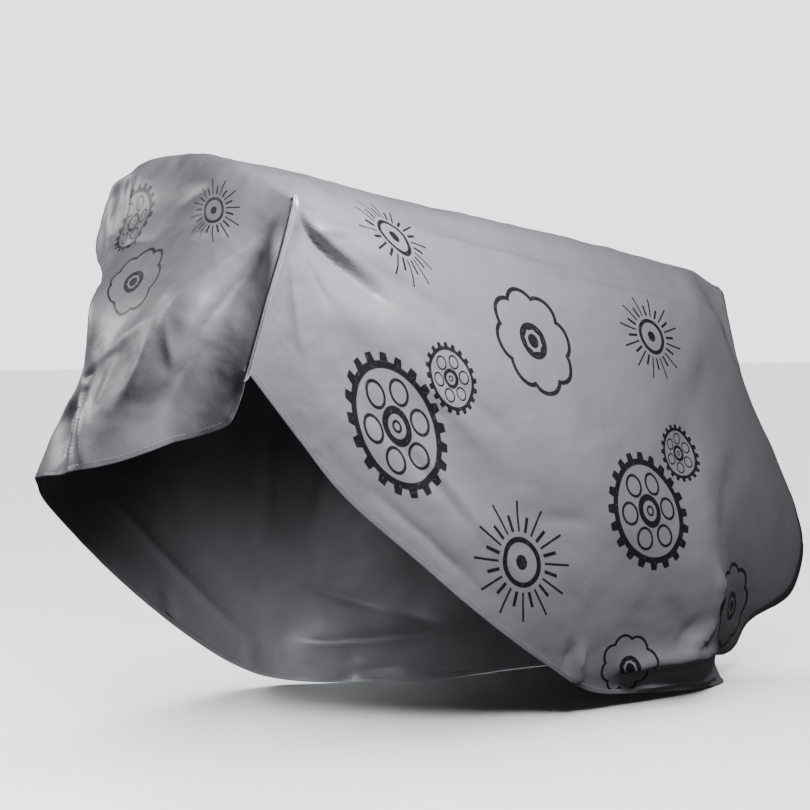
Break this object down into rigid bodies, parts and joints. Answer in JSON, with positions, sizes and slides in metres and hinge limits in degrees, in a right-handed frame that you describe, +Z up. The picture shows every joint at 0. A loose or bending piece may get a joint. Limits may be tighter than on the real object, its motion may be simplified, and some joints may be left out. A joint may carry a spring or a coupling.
{
  "type": "bicycle cover",
  "caption": "Draped weather cover of thin silver film, hollow and open below, hanging from a wide bar at the front and a straight top fold.",
  "frame": {"origin": "the point under the top fold, midway along it, where the cover is held up", "axes": "+X rearwards along the top fold, +Y to the side away from the front seam, +Z up; the floor is 0.990 m below the origin"},
  "size_m": [1.7057, 0.706, 1.0892],
  "materials": {
    "silver_film": "satin coated film with a sparse dark printed pattern",
    "seam_film": "satin coated film, folded and joined"
  },
  "bodies": {
    "root": {"cover_sheet": "silver_film", "front_seam": "seam_film"}
  },
  "joints": []
}
